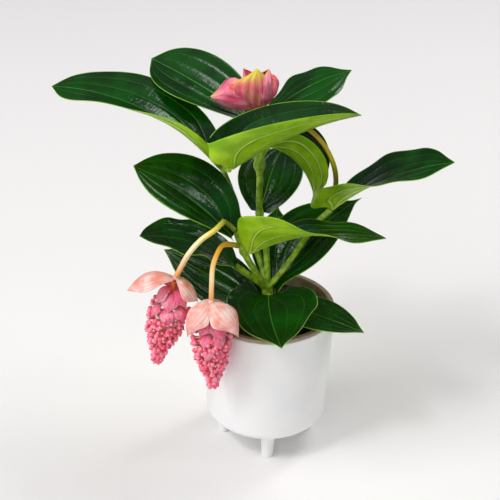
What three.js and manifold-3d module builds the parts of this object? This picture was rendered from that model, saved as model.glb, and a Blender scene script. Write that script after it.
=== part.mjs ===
// A rose grape (Medinilla) in bloom, growing in a plastic nursery pot that hangs by its lip in a
// footed ceramic planter. Millimetres and degrees, +Z up. Everything is laid out from a point on the
// axis of the planter a little above the floor, and the whole plant is then moved so that its feet
// stand on the floor and its box is centred on the origin.

import * as THREE from 'three';
import { mergeVertices } from 'three/addons/utils/BufferGeometryUtils.js';
import Module from 'manifold-3d';

const wasm = await Module();
wasm.setup();

const planterAxis = [28.6, -11.4]; // where the axis of the planter stands, seen from the origin
const lift = 5; // from the floor up to the level that heights are given from
const gap = 0.3; // between pieces that touch
const sides = 8; // round a stem

// Planter: a tapered bowl with a rounded foot edge on four round feet.
const planter = {
  rimRadius: 85,
  baseRadius: 79,
  edgeRadius: 14,
  wall: 4,
  rimHeight: 192,
  floorHeight: 33,
  footCircle: 51,
  footTop: 9.5,
  footEnd: 7.5,
  footTurn: 4,
  footFacets: 16,
  facets: 32,
};

// Nursery pot: its lip lies on the planter's rim and carries it.
const liner = {
  lipRadius: 84,
  lipHeight: 4.5,
  topRadius: 79.5,
  baseRadius: 66,
  baseHeight: 62,
  wall: 2,
  facets: 32,
};

// Potting soil: fills the nursery pot to a little below its lip.
const soil = { top: 181, bump: 2.2, facets: 28, rings: 5, trunkHole: 7.1, holeFacets: 24 };

// Berries stand in rings round the core of a head, and each ring is turned against the last.
const berry = { radius: 2.9, standOut: -0.6, first: 0.4, last: 0.985, spread: 1.8, shuffle: 2.4 };
const coreSides = 8; // round the core of a head of berries
const golden = 0.618; // part of a step by which each ring of berries is turned

const leafThickness = 1;
const bractThickness = 0.8;
const hubSize = 5; // radius of the knob that the bracts grow from

// Points of the branching stem, from the planter's axis.
const node = {
  foot: [-2, 6, 150],
  crown: [-2, 5, 217],
  lowLeft: [-43, -6, 255],
  left: [-34, -18, 284],
  leftLeaf: [-41, -16, 303],
  leftEnd: [-43, -16, 310],
  upperLeft: [-54, -8, 391],
  farLeft: [-71, 8, 393],
  middle: [-15, 46, 303],
  upper: [-17, 46, 371],
  drooping: [-8, 46, 396],
  top: [-22, 70, 418],
  right: [75, 50, 308],
};

const stemRadius = { trunk: 6.5, main: 3.9, upper: 3.2, peduncle: 3.1, petiole: 3 };

// ---------------------------------------------------------------- vectors and solids

const radians = THREE.MathUtils.degToRad;
const vector = (point) => new THREE.Vector3(...point);

function toSolid(geometry) {
  const bare = geometry.clone();
  bare.deleteAttribute('normal');
  bare.deleteAttribute('uv');
  const merged = mergeVertices(bare, 1e-4);
  return new wasm.Manifold(new wasm.Mesh({
    numProp: 3,
    vertProperties: new Float32Array(merged.attributes.position.array),
    triVerts: new Uint32Array(merged.index.array),
  }));
}

function toGeometry(solid) {
  const mesh = solid.getMesh();
  const geometry = new THREE.BufferGeometry();
  geometry.setAttribute('position', new THREE.BufferAttribute(mesh.vertProperties, 3));
  geometry.setIndex(new THREE.BufferAttribute(mesh.triVerts, 1));
  geometry.computeVertexNormals();
  return geometry;
}

const fuse = (geometries) => toGeometry(geometries.map(toSolid).reduce((all, one) => all.add(one)));

// A round rod along a smooth curve through the points.
function rod(points, radius, steps, around = sides) {
  const path = new THREE.CatmullRomCurve3(points.map(vector), false, 'centripetal');
  const section = new THREE.Shape();
  for (let k = 0; k < around; k += 1) {
    const angle = (2 * Math.PI * k) / around;
    const spot = [radius * Math.cos(angle), radius * Math.sin(angle)];
    if (k === 0) section.moveTo(...spot);
    else section.lineTo(...spot);
  }
  section.closePath();
  return new THREE.ExtrudeGeometry(section, { steps, extrudePath: path, bevelEnabled: false });
}

const ball = (centre, radius, detail = 0) => (
  new THREE.IcosahedronGeometry(radius, detail).translate(...centre)
);

// A lathe solid about the planter's axis from [radius, height] points, from the axis to the axis.
function turned(profile, facets) {
  const geometry = new THREE.LatheGeometry(profile.map(([r, z]) => new THREE.Vector2(r, z)), facets);
  return geometry.rotateX(Math.PI / 2);
}

// ---------------------------------------------------------------- leaf blades

const bladeDefaults = {
  sweep: 0, // change of heading along the blade
  bend: 1, // under 1, most of the droop comes near the stem
  ease: 1, // under 1, most of the change in roll, curl and fold comes near the stem
  roll: [0, 0], // at the base and the tip, raises the right-hand side
  curl: [10, 10], // how far each margin turns up, at the base and the tip
  fold: [0, 0], // crease along the midrib, at the base and the tip
  widest: 0.45, // where along the blade it is widest
  fullness: 0.7, // lower is squarer in the shoulders
  heel: 0, // how far along its outline the blade starts
  lobe: [0, 0], // how far the left and right lobes reach back past the stem
  share: [1, 1], // of half the width, on the left and on the right
  start: 0, // from the stem's axis to the first edge of the blade
  wave: [0, 3, 0], // height, number and phase of the waves in the margin
  rows: 13,
  columns: 6,
  thickness: leafThickness,
};

const pointedTip = 0.96; // the outline closes here, and the drip tip runs on to the end

// Half the width of the blade at u, from 0 at the stem to 1 at the tip.
function halfWidth(blade, u) {
  const power = Math.log(0.5) / Math.log(blade.widest / pointedTip);
  const along = Math.min(1, (blade.heel + (1 - blade.heel) * u) / pointedTip);
  const body = Math.sin(Math.PI * along ** power) ** blade.fullness;
  const drip = 0.3 * (1 - u);
  return (blade.width / 2) * (Math.max(0, body) ** 3 + drip ** 3) ** (1 / 3);
}

// The midrib, from the stem outwards: points and directions at equal steps.
function midrib(blade, steps) {
  const spots = [];
  const place = vector(blade.from);
  const length = blade.length / steps;
  for (let i = 0; i <= steps; i += 1) {
    const u = i / steps;
    const rise = radians(blade.rise - blade.droop * u ** blade.bend);
    const heading = radians(blade.heading + blade.sweep * u);
    const along = new THREE.Vector3(
      Math.cos(rise) * Math.cos(heading),
      Math.cos(rise) * Math.sin(heading),
      Math.sin(rise),
    );
    if (i > 0) place.addScaledVector(along, length);
    else place.addScaledVector(new THREE.Vector3(Math.cos(heading), Math.sin(heading), 0), blade.start);
    spots.push({ place: place.clone(), along, heading });
  }
  return spots;
}

// The two faces of the blade meet at its margin. Both are split alike, so they never cross.
function bladeGeometry(options) {
  const blade = { ...bladeDefaults, ...options };
  const { rows, columns, thickness } = blade;
  const spine = midrib(blade, rows);
  const top = [];
  const under = [];
  const across = Array.from({ length: columns + 1 }, (_, j) => (2 * j) / columns - 1);
  const [waveHeight, waveCount, wavePhase] = blade.wave;
  for (let i = 0; i <= rows; i += 1) {
    const u = i / rows;
    const { place, along, heading } = spine[i];
    const side = new THREE.Vector3(Math.sin(heading), -Math.cos(heading), 0);
    const up = new THREE.Vector3().crossVectors(side, along);
    const turn = u ** blade.ease;
    const roll = radians(THREE.MathUtils.lerp(...blade.roll, turn));
    const curl = radians(THREE.MathUtils.lerp(...blade.curl, turn)) || 1e-6;
    const crease = radians(THREE.MathUtils.lerp(...blade.fold, turn));
    for (const w of i === rows ? [0] : across) {
      const hand = Math.sign(w);
      const hands = w < 0 ? 0 : 1;
      const reach = blade.lobe[hands];
      const half = halfWidth(blade, u) * blade.share[hands];
      const start = roll + hand * crease;
      const end = start + curl * w;
      const out = (half * (Math.sin(end) - Math.sin(start))) / curl;
      const lift = (half * (Math.cos(start) - Math.cos(end))) / curl;
      const swing = Math.sin(2 * Math.PI * waveCount * u + wavePhase + hand);
      const ripple = waveHeight * w * w * Math.sin(Math.PI * u) * swing;
      const back = reach * Math.sin(0.8 * Math.PI * Math.abs(w)) ** 5 * (1 - u) ** 3;
      const normal = side.clone().multiplyScalar(-Math.sin(end)).addScaledVector(up, Math.cos(end));
      const point = place.clone()
        .addScaledVector(side, out)
        .addScaledVector(up, lift)
        .addScaledVector(normal, ripple)
        .addScaledVector(along, -back);
      top.push(point);
      under.push(point.clone().addScaledVector(normal, -thickness));
    }
  }
  const wide = columns + 1;
  const tip = rows * wide;
  const faces = [];
  for (let i = 0; i < rows; i += 1) {
    for (let j = 0; j < columns; j += 1) {
      const [a, b] = [i * wide + j, i * wide + j + 1];
      if (i === rows - 1) faces.push([a, b, tip]);
      else faces.push([a, b, a + wide], [b, b + wide, a + wide]);
    }
  }
  const margin = [];
  for (let j = 0; j <= columns; j += 1) margin.push(j);
  for (let i = 1; i < rows; i += 1) margin.push(i * wide + columns);
  margin.push(tip);
  for (let i = rows - 1; i > 0; i -= 1) margin.push(i * wide);
  const shift = top.length;
  const index = faces.flat();
  for (const [a, b, c] of faces) index.push(a + shift, c + shift, b + shift);
  margin.forEach((p, k) => {
    const q = margin[(k + 1) % margin.length];
    index.push(q, p, p + shift, q, p + shift, q + shift);
  });
  const geometry = new THREE.BufferGeometry();
  const corners = [...top, ...under].flatMap((point) => point.toArray());
  geometry.setAttribute('position', new THREE.Float32BufferAttribute(corners, 3));
  geometry.setIndex(index);
  geometry.computeVertexNormals();
  return geometry;
}

// ---------------------------------------------------------------- leaves, by name

// heading: 0 is right, 90 is back, 180 is left, 270 is front. rise: at the stem, above the level.
// droop: how far the tip has turned down from there.
const leaves = {
  leaf_far_left: {
    from: node.farLeft, heading: 157, sweep: 12, rise: 45, droop: 48, bend: 0.9, start: 3.4, length: 224,
    width: 101, roll: [-16, 12], fold: [10, 0], curl: [15, 1], widest: 0.47, fullness: 0.4,
  },
  leaf_upper_left: {
    from: node.top, heading: 165, sweep: -11, rise: 37, droop: 23, bend: 0.8, start: 4.1, length: 152,
    width: 98, roll: [8, 20], fold: [12, 2], curl: [18, 6], widest: 0.54, fullness: 0.4,
  },
  leaf_upper_right: {
    from: node.top, heading: 16, rise: 46, droop: 36, start: 4.1, length: 133, width: 91,
    roll: [6, -14], fold: [-3, -11], curl: [11, -10], widest: 0.57, fullness: 0.78, share: [1, 0.85],
    wave: [2, 3, 0],
  },
  leaf_top: {
    from: node.upperLeft, heading: 9, sweep: 9, rise: 36, droop: 32, bend: 1.2, start: 4.8, length: 170,
    width: 129, ease: 0.5, roll: [1, 8], fold: [44, 17], curl: [62, 18], widest: 0.28, fullness: 0.4,
    heel: 0.1, lobe: [0, 11], share: [0.83, 1],
  },
  leaf_middle_left: {
    from: node.leftLeaf, heading: 181, rise: 54, droop: 27, bend: 0.9, start: 7.4, length: 153, width: 110,
    roll: [22, 18], fold: [27, 0], curl: [21, -5], widest: 0.5, fullness: 0.5, share: [0.84, 1],
  },
  leaf_drooping: {
    from: node.drooping, heading: 3, sweep: 6, rise: 10, droop: 85, bend: 0.55, start: 2, length: 92,
    width: 92, roll: [1, -20], fold: [58, 48], curl: [20, 11], widest: 0.41, fullness: 0.51,
  },
  leaf_centre: {
    from: node.left, heading: 9, sweep: -28, rise: 32, droop: 33, bend: 0.86, start: 4.8, length: 174,
    width: 118, ease: 0.5, roll: [37, 3], fold: [27, 0], curl: [60, 0], widest: 0.36, fullness: 0.6,
    heel: 0.05, share: [0.72, 1.24], wave: [1, 3, 0.7],
  },
  leaf_far_right: {
    from: node.right, heading: -13, sweep: -17, rise: 50, droop: 29, bend: 0.92, start: 5.6, length: 178,
    width: 109, ease: 0.5, roll: [46, -17], fold: [22, -2], curl: [57, 5], widest: 0.48, fullness: 0.6,
    heel: 0.14, lobe: [0, 16],
  },
  leaf_lower_left: {
    from: node.lowLeft, heading: 193, sweep: 8, rise: 51, droop: 44, bend: 0.95, start: 0.8, length: 139,
    width: 88, roll: [8, 1], fold: [8, -3], curl: [19, 7], widest: 0.46, fullness: 0.45, wave: [2, 3, -0.5],
  },
  leaf_low_left: {
    from: [-5, 8, 188], heading: 168, rise: 26, droop: 0, start: 2.8, length: 146, width: 92,
    roll: [18, 15], curl: [10, 10],
  },
  leaf_front: {
    from: [-1, -4.5, 213], heading: -92, sweep: 20, rise: 2, droop: 12, start: 3, length: 107,
    width: 122, share: [1, 0.88], roll: [-2, -2], fold: [5, 6], curl: [22, 3], widest: 0.41,
    fullness: 0.7, heel: 0.16, lobe: [12, 26], wave: [3, 2, 1],
  },
  leaf_front_right: {
    from: [-2, 5, 199], heading: -28, rise: 5, droop: 12, start: 6.4, length: 130, width: 72,
    curl: [5, 5],
  },
  leaf_back_low: {
    from: [-2, 5, 204], heading: 84, rise: 43, droop: 10, start: 7, length: 128, width: 58,
    curl: [10, 10], widest: 0.52, fullness: 1.1,
  },
  leaf_back_right: {
    from: [-2, 5, 216], heading: 37, sweep: -4, rise: 55, droop: 40, start: 7.1, length: 168, width: 96,
    roll: [-11, -1], fold: [8, 6], curl: [19, 17], widest: 0.46, fullness: 1.1,
  },
  leaf_back: {
    from: node.middle, heading: 72, rise: 56, droop: 48, start: 3.5, length: 104, width: 84,
    curl: [10, 5], widest: 0.5, fullness: 0.5,
  },
};

// ---------------------------------------------------------------- bracts and berries

const bractDefaults = {
  thickness: bractThickness,
  start: 2,
  rows: 5,
  columns: 4,
  widest: 0.5,
  fullness: 0.6,
};

// Petal-like bracts in a ring round a small hub, which ends the stalk.
function bracts(hub, blades) {
  const petals = blades.map((blade) => bladeGeometry({ ...bractDefaults, ...blade, from: hub }));
  return fuse([ball(hub, hubSize, 1), ...petals]);
}

// A tapering head of berries: they stand out all round a slimmer core, from its top to its foot.
function panicle({ top, foot, core, petals, counts }) {
  const axis = new THREE.LineCurve3(vector(top), vector(foot));
  const length = axis.getLength();
  const turn = new THREE.Quaternion().setFromUnitVectors(
    new THREE.Vector3(0, 0, 1),
    vector(top).sub(vector(foot)).normalize(),
  );
  const profile = core.map(([r, part]) => new THREE.Vector2(r, -part * length)).reverse();
  const middle = new THREE.LatheGeometry(profile, coreSides);
  middle.rotateX(Math.PI / 2).applyQuaternion(turn).translate(...top);
  const pieces = [middle];
  const radiusAt = (part) => {
    const k = core.findIndex(([, end]) => end >= part);
    const [[r0, p0], [r1, p1]] = [core[k - 1], core[k]];
    return r0 + ((r1 - r0) * (part - p0)) / (p1 - p0);
  };
  counts.forEach((count, k) => {
    const part = berry.first + ((berry.last - berry.first) * k) / (counts.length - 1);
    const centre = axis.getPointAt(part);
    const reach = radiusAt(part) + berry.standOut;
    for (let i = 0; i < count; i += 1) {
      const angle = (2 * Math.PI * (i + golden * k)) / count;
      const drop = berry.spread * Math.sin(berry.shuffle * (i + 1) * (k + 1));
      const out = new THREE.Vector3(reach * Math.cos(angle), reach * Math.sin(angle), drop);
      pieces.push(ball(centre.clone().add(out.applyQuaternion(turn)).toArray(), berry.radius));
    }
  });
  for (const petal of petals) {
    const from = axis.getPointAt(petal.part).toArray();
    pieces.push(bladeGeometry({ ...bractDefaults, rows: 3, columns: 2, ...petal, from }));
  }
  return fuse(pieces);
}

// ---------------------------------------------------------------- assembly

const group = new THREE.Group();
group.position.set(...planterAxis, lift);

function place(name, geometry, color, roughness) {
  const material = new THREE.MeshStandardMaterial({ color, roughness, metalness: 0 });
  const mesh = new THREE.Mesh(geometry, material);
  mesh.name = name;
  group.add(mesh);
}

for (const [name, blade] of Object.entries(leaves)) place(name, bladeGeometry(blade), 0x0d4a12, 0.35);

const { trunk, main, upper, peduncle, petiole } = stemRadius;
const behind = [[-16, 34, 250], [-40, 50, 290], [-53, 55, 332], [-62, 36, 368]];
place('stems', fuse([
  rod([node.foot, node.crown], trunk, 2),
  rod([[-2, 5, 209], [-1, -4.5, 213]], petiole, 1),
  rod([node.crown, node.lowLeft], main, 2),
  rod([node.crown, [-14, -5, 240], node.left, node.leftLeaf, node.leftEnd], main, 7),
  rod([node.crown, ...behind, node.upperLeft], main, 10),
  rod([behind.at(-1), node.farLeft], upper, 1),
  rod([node.crown, [-6, 34, 262], node.middle, node.upper, [-22, 56, 392], node.top], main, 10),
  rod([node.upper, [-14, 46, 386], node.drooping], main, 3),
  rod([node.crown, [18, 10, 244], [42, 32, 272], [57, 46, 290], node.right], main, 7),
]), 0x6f9a1c, 0.5);

// Each stalk leaves its stem and stops just short of its hub.
const hubs = { left: [-114, -68, 275], right: [-70.5, -89.6, 255.5], bud: [-18, 52, 447] };
const stalks = {
  left: [
    [-44.9, -15.5, 311.8], [-53, -14, 319], [-58, -27, 330], [-61, -49, 339],
    [-69, -64, 338], [-83, -69, 329], [-97, -69, 311], [-109, -69, 287],
  ],
  right: [[-41.4, -22.1, 294], [-49, -39, 305.5], [-60, -55, 312], [-69, -70, 296], [-70.5, -83, 273]],
  bud: [
    [76.2, 51.8, 310.2], [77, 55, 321], [79, 47, 347], [74, 35, 379], [62, 34, 404],
    [43, 36, 424], [18, 43, 434], [-1, 48, 439],
  ],
};

function stalk(points, hub) {
  const last = vector(points.at(-1)).sub(vector(hub));
  const end = vector(hub).add(last.setLength(hubSize + gap));
  return rod([...points, end.toArray()], peduncle, 12);
}

place('stalk_left', stalk(stalks.left, hubs.left), 0xe0c070, 0.5);
place('stalk_right', stalk(stalks.right, hubs.right), 0xe8b040, 0.5);
place('stalk_bud', stalk(stalks.bud, hubs.bud), 0xd8b020, 0.5);

place('bracts_left', bracts(hubs.left, [
  { heading: 186, rise: 10, droop: 58, length: 64, width: 38, curl: [-30, -50] },
  { heading: 4, rise: -22, droop: 50, length: 40, width: 36, curl: [-40, -60] },
  { heading: 90, rise: -15, droop: 55, length: 44, width: 38, curl: [-40, -60] },
]), 0xf2b8a6, 0.6);
place('bracts_right', bracts(hubs.right, [
  { heading: 215, rise: 0, droop: 90, length: 54, width: 52, curl: [-50, -70] },
  { heading: -40, rise: 0, droop: 90, length: 54, width: 52, curl: [-50, -70] },
  { heading: 55, rise: 0, droop: 90, length: 52, width: 48, curl: [-50, -70] },
  { heading: 135, rise: 0, droop: 90, length: 52, width: 48, curl: [-50, -70] },
]), 0xf2b8a6, 0.6);

// The inner bracts of a head, four to a whorl. The lower ones start at the face of the core.
const paniclePetal = { curl: [-50, -70], rise: 0, droop: 85 };
const whorls = [
  { part: 0.1, length: 38, width: 32, turn: 0 },
  { part: 0.3, start: 15, length: 28, width: 24, turn: 45 },
];
const headPetals = (heading) => whorls.flatMap(({ turn, ...size }) => (
  [0, 90, 180, 270].map((quarter) => ({ ...paniclePetal, ...size, heading: heading + turn + quarter }))
));
// Core: its radius, and how far down the head that is.
const core = [[0, 0], [2, 0.02], [4, 0.14], [24, 0.36], [21, 0.62], [10, 0.93], [4, 1], [0, 1]];
const counts = [9, 9, 8, 8, 6, 5, 4];
place('panicle_left', panicle({
  top: [-115.6, -68, 269.7],
  foot: [-140, -68, 153],
  core,
  counts,
  petals: headPetals(15),
}), 0xf0709a, 0.4);
place('panicle_right', panicle({
  top: [-70.5, -89.6, 250.2],
  foot: [-65.7, -89.6, 132.5],
  core,
  counts,
  petals: headPetals(20),
}), 0xf0709a, 0.4);

place('bud', bracts(hubs.bud, [
  { heading: 190, rise: -20, droop: -85, bend: 1.3, length: 73, width: 78, curl: [75, 95], fullness: 0.5 },
  { heading: -84, rise: 30, droop: -112, length: 58, width: 62, curl: [70, 90], fullness: 0.45 },
  { heading: 150, rise: 58, droop: -10, length: 44, width: 30, curl: [40, 60] },
]), 0xea5f80, 0.5);

// ---------------------------------------------------------------- pot and soil

const planterShell = turned([
  [0, planter.floorHeight],
  [planter.baseRadius - planter.edgeRadius, planter.floorHeight],
  [planter.baseRadius - 0.5 * planter.edgeRadius, planter.floorHeight + 0.13 * planter.edgeRadius],
  [planter.baseRadius - 0.13 * planter.edgeRadius, planter.floorHeight + 0.5 * planter.edgeRadius],
  [planter.baseRadius, planter.floorHeight + planter.edgeRadius],
  [planter.rimRadius, planter.rimHeight - 1],
  [planter.rimRadius - 1, planter.rimHeight],
  [planter.rimRadius - planter.wall + 1, planter.rimHeight],
  [planter.rimRadius - planter.wall, planter.rimHeight - 1],
  [planter.baseRadius - planter.wall, planter.floorHeight + planter.edgeRadius],
  [planter.baseRadius - planter.edgeRadius, planter.floorHeight + planter.wall],
  [0, planter.floorHeight + planter.wall],
], planter.facets);
const feet = [0, 1, 2, 3].map((quarter) => {
  const turn = radians(planter.footTurn + 90 * quarter);
  const height = lift + planter.floorHeight + 0.5 * planter.wall;
  return new THREE.CylinderGeometry(planter.footTop, planter.footEnd, height, planter.footFacets)
    .rotateX(Math.PI / 2)
    .translate(
      planter.footCircle * Math.cos(turn),
      planter.footCircle * Math.sin(turn),
      height / 2 - lift,
    );
});
place('planter', fuse([planterShell, ...feet]), 0xececea, 0.7);

const lipBottom = planter.rimHeight + gap;
const lipTop = planter.rimHeight + liner.lipHeight;
const floorTop = liner.baseHeight + liner.wall;
place('liner', turned([
  [0, liner.baseHeight],
  [liner.baseRadius, liner.baseHeight],
  [liner.topRadius, lipBottom],
  [liner.lipRadius, lipBottom],
  [liner.lipRadius, lipTop - 1],
  [liner.lipRadius - 1, lipTop],
  [liner.topRadius - liner.wall + 0.6, lipTop],
  [liner.topRadius - liner.wall, lipTop - 0.6],
  [liner.baseRadius - liner.wall, floorTop],
  [0, floorTop],
], liner.facets), 0x7d6a5f, 0.6);

// The soil fills the liner up to its top, which rises and falls a little.
function soilSolid() {
  const { top, bump, facets, rings, trunkHole, holeFacets } = soil;
  const bottom = floorTop + gap;
  const slope = (liner.topRadius - liner.baseRadius) / (lipBottom - liner.baseHeight);
  const radiusAt = (z) => liner.baseRadius - liner.wall + slope * (z - floorTop) - 1.5 * gap;
  const profile = [[0, bottom], [radiusAt(bottom), bottom]];
  for (let k = rings; k >= 0; k -= 1) profile.push([(radiusAt(top - bump) * k) / rings, top]);
  const geometry = turned(profile, facets);
  const spots = geometry.attributes.position;
  for (let i = 0; i < spots.count; i += 1) {
    if (spots.getZ(i) < top) continue;
    const [x, y] = [spots.getX(i), spots.getY(i)];
    const rim = Math.hypot(x, y) / radiusAt(top);
    spots.setZ(i, top + bump * (Math.sin(0.11 * x + 1) * Math.cos(0.13 * y) * (1 - rim) - 0.4 * rim));
  }
  const depth = top - node.foot[2] + gap;
  const hole = new THREE.CylinderGeometry(trunkHole, trunkHole, 2 * depth, holeFacets)
    .rotateX(Math.PI / 2)
    .translate(node.foot[0], node.foot[1], top);
  return toGeometry(toSolid(geometry).subtract(toSolid(hole)));
}
place('soil', soilSolid(), 0x2f2015, 0.95);

export default group;
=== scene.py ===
import math

import bpy
import numpy as np
from mathutils import Matrix, Vector


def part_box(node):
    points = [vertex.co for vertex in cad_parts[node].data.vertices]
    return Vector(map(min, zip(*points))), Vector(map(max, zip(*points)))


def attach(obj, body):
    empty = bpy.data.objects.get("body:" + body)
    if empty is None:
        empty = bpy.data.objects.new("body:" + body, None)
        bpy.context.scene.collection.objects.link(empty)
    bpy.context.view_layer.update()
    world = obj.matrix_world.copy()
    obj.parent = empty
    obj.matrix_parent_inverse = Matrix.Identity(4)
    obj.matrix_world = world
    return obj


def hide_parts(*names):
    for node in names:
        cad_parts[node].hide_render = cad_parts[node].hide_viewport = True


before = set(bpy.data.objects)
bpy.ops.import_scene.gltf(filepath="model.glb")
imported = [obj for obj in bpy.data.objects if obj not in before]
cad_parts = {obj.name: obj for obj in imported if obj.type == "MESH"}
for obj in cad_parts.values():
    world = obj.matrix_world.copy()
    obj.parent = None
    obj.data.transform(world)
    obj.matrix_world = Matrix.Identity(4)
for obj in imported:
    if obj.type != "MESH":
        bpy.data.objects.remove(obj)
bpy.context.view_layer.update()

# A rose grape in bloom, in a nursery pot that hangs in a footed planter. Lengths in the dictionaries
# below are millimetres from the planter's axis a little above the floor, as on the solids, and angles
# are degrees.
mm = 0.001
lift = 5  # from the floor up to the level that heights are given from
planterLow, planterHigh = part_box("planter")
origin = Vector(((planterLow.x + planterHigh.x) / 2, (planterLow.y + planterHigh.y) / 2, lift * mm))
scene = bpy.context.scene


def inRow(points):
    # millimetres from that point of the planter's axis to metres in the frame
    return np.asarray(points, float) * mm + np.array(origin)


def newObject(name, data):
    # an object linked to the scene
    thing = bpy.data.objects.new(name, data)
    scene.collection.objects.link(thing)
    return thing


# camera, lights and floor

studio = {
    "cameraPlace": (-26, -1342, 1066),
    "pitch": 30.5,
    "roll": 1.5,
    "lens": 90,
    "sky": (1.0, 0.995, 0.99),
    # height at which it starts and ends to brighten, and its strength at both
    "skyRise": (0.35, 0.95, 0.28, 0.58),
    # where it starts and ends to dim towards the right and the back, and the share that is left
    "skySides": {"X": (-0.5, 0.8, 0.5), "Y": (-0.1, 0.7, 0.4)},
    # place, aim, size in metres and power in watts of each softbox
    "softboxes": {
        "keyLeft": ((-3.5, -1.6, 4.1), (0.0, 0.0, 0.25), (2.8, 2.8), 147),
        "glossRight": ((3.0, -0.4, 2.5), (0.0, 0.0, 0.35), (0.6, 0.8), 12),
        "glossBack": ((2.1, 1.9, 3.0), (0.0, 0.0, 0.35), (0.7, 0.7), 18),
        "glossTop": ((1.6, 1.1, 3.75), (0.0, 0.0, 0.35), (1.5, 1.3), 42),
        "glossLeft": ((-1.9, -1.5, 3.7), (0.0, 0.0, 0.35), (0.6, 0.6), 26),
        "fillFront": ((-1.6, -4.4, 2.6), (0.0, 0.0, 0.2), (3.0, 3.0), 47),
    },
}

cameraData = bpy.data.cameras.new("camera")
cameraData.lens = studio["lens"]
cameraData.sensor_width = 36
camera = newObject("camera", cameraData)
tilt = Matrix.Rotation(math.radians(90 - studio["pitch"]), 4, "X")
camera.matrix_world = (
    Matrix.Translation(Vector(inRow(studio["cameraPlace"])))
    @ tilt
    @ Matrix.Rotation(math.radians(studio["roll"]), 4, "Z")
)
scene.camera = camera

for name, (place, aim, size, power) in studio["softboxes"].items():
    light = bpy.data.lights.new(name, "AREA")
    light.shape = "RECTANGLE"
    light.size, light.size_y = size
    light.energy = power
    box = newObject(name, light)
    box.location = place
    box.rotation_euler = (Vector(aim) - Vector(place)).to_track_quat("-Z", "Y").to_euler()

scene.view_settings.view_transform = "Standard"


# small helpers for materials and node trees


def linear(code):
    # an sRGB hex colour as linear values
    parts = [int(code[i:i + 2], 16) / 255 for i in (1, 3, 5)]
    return (*[c / 12.92 if c <= 0.04045 else ((c + 0.055) / 1.055) ** 2.4 for c in parts], 1)


def setInputs(node, inputs):
    # each input as a value, or as a link from a socket
    for key, value in inputs.items():
        if isinstance(value, bpy.types.NodeSocket):
            node.id_data.links.new(value, node.inputs[key])
        else:
            node.inputs[key].default_value = value


def addNode(tree, kind, inputs=None, **settings):
    node = tree.nodes.new(kind)
    for key, value in settings.items():
        setattr(node, key, value)
    setInputs(node, inputs or {})
    return node


def output(tree, kind, inputs=None, socket=0, **settings):
    # one output socket of a new node
    return addNode(tree, kind, inputs, **settings).outputs[socket]


def treeOf(*values):
    # the node tree that the sockets among these values are in
    return next(value.id_data for value in values if isinstance(value, bpy.types.NodeSocket))


def calc(operation, *values):
    return output(treeOf(*values), "ShaderNodeMath", dict(enumerate(values)), operation=operation)


def plus(first, second):
    return calc("ADD", first, second)


def minus(first, second):
    return calc("SUBTRACT", first, second)


def times(first, *others):
    for other in others:
        first = calc("MULTIPLY", first, other)
    return first


def fade(value, start, end, low=0.0, high=1.0, kind="SMOOTHSTEP"):
    inputs = {"Value": value, "From Min": start, "From Max": end, "To Min": low, "To Max": high}
    return output(value.id_data, "ShaderNodeMapRange", inputs, interpolation_type=kind)


def combine(x, y, z):
    return output(treeOf(x, y, z), "ShaderNodeCombineXYZ", {"X": x, "Y": y, "Z": z})


def blendColours(factor, first, second):
    # colours are hex codes or sockets
    colours = [linear(value) if isinstance(value, str) else value for value in (first, second)]
    inputs = dict(zip((0, 6, 7), (factor, *colours)))
    return output(factor.id_data, "ShaderNodeMix", inputs, 2, data_type="RGBA")


def rampColours(factor, stops):
    ramp = addNode(factor.id_data, "ShaderNodeValToRGB", {"Fac": factor})
    elements = ramp.color_ramp.elements
    while len(elements) < len(stops):
        elements.new(0.5)
    for element, (position, code) in zip(elements, stops):
        element.position = position
        element.color = linear(code)
    return ramp.outputs["Color"]


def speckle(tree, sizeMm, detail=3.0, roughness=0.5):
    # noise whose grains are about sizeMm across, on object coordinates
    place = output(tree, "ShaderNodeTexCoord", socket="Object")
    inputs = {"Vector": place, "Scale": 1 / (sizeMm * mm), "Detail": detail, "Roughness": roughness}
    return output(tree, "ShaderNodeTexNoise", inputs)


def mottle(tree, sizeMm, first, second, detail=3.0, start=0.3, end=0.7):
    # two colours in clouds of about that size
    return blendColours(fade(speckle(tree, sizeMm, detail), start, end), first, second)


def bump(height, depthMm):
    inputs = {"Height": height, "Distance": depthMm * mm, "Strength": 1.0}
    return output(height.id_data, "ShaderNodeBump", inputs)


def newMaterial(name):
    material = bpy.data.materials.new(name)
    material.use_nodes = True
    return material, material.node_tree


def dress(material, inputs):
    setInputs(material.node_tree.nodes["Principled BSDF"], inputs)
    return material


world = bpy.data.worlds.new("sky")
world.use_nodes = True
upward = output(world.node_tree, "ShaderNodeTexCoord", socket="Generated")
aimed = addNode(world.node_tree, "ShaderNodeSeparateXYZ", {0: upward}).outputs
glow = fade(aimed["Z"], *studio["skyRise"])
for side, (start, end, share) in studio["skySides"].items():
    glow = times(glow, fade(aimed[side], start, end, 1.0, share))
setInputs(world.node_tree.nodes["Background"], {"Color": (*studio["sky"], 1), "Strength": glow})
scene.world = world
print("camera and lights ready")


# blades: leaves, bracts and petals

veinSwing = 2.4  # higher makes a side vein leave the midrib more squarely


def attribute(tree, key):
    return output(tree, "ShaderNodeAttribute", socket="Fac", attribute_name=key)


def blade(tree):
    # how far a point lies across and along its blade, as 0 to 1, and the half width there in metres
    across, along, half = [attribute(tree, key) for key in ("across", "along", "half")]
    return calc("ABSOLUTE", across), along, half


def streaks(tree, perLength, perWidth):
    # noise stretched along or across a blade, with so many grains to its length and its half width
    across, along, _ = blade(tree)
    shift = output(tree, "ShaderNodeObjectInfo", socket="Random")
    place = combine(times(along, perLength), times(across, perWidth), shift)
    return output(tree, "ShaderNodeTexNoise", {"Vector": place, "Scale": 1.0, "Detail": 2.0})


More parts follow.
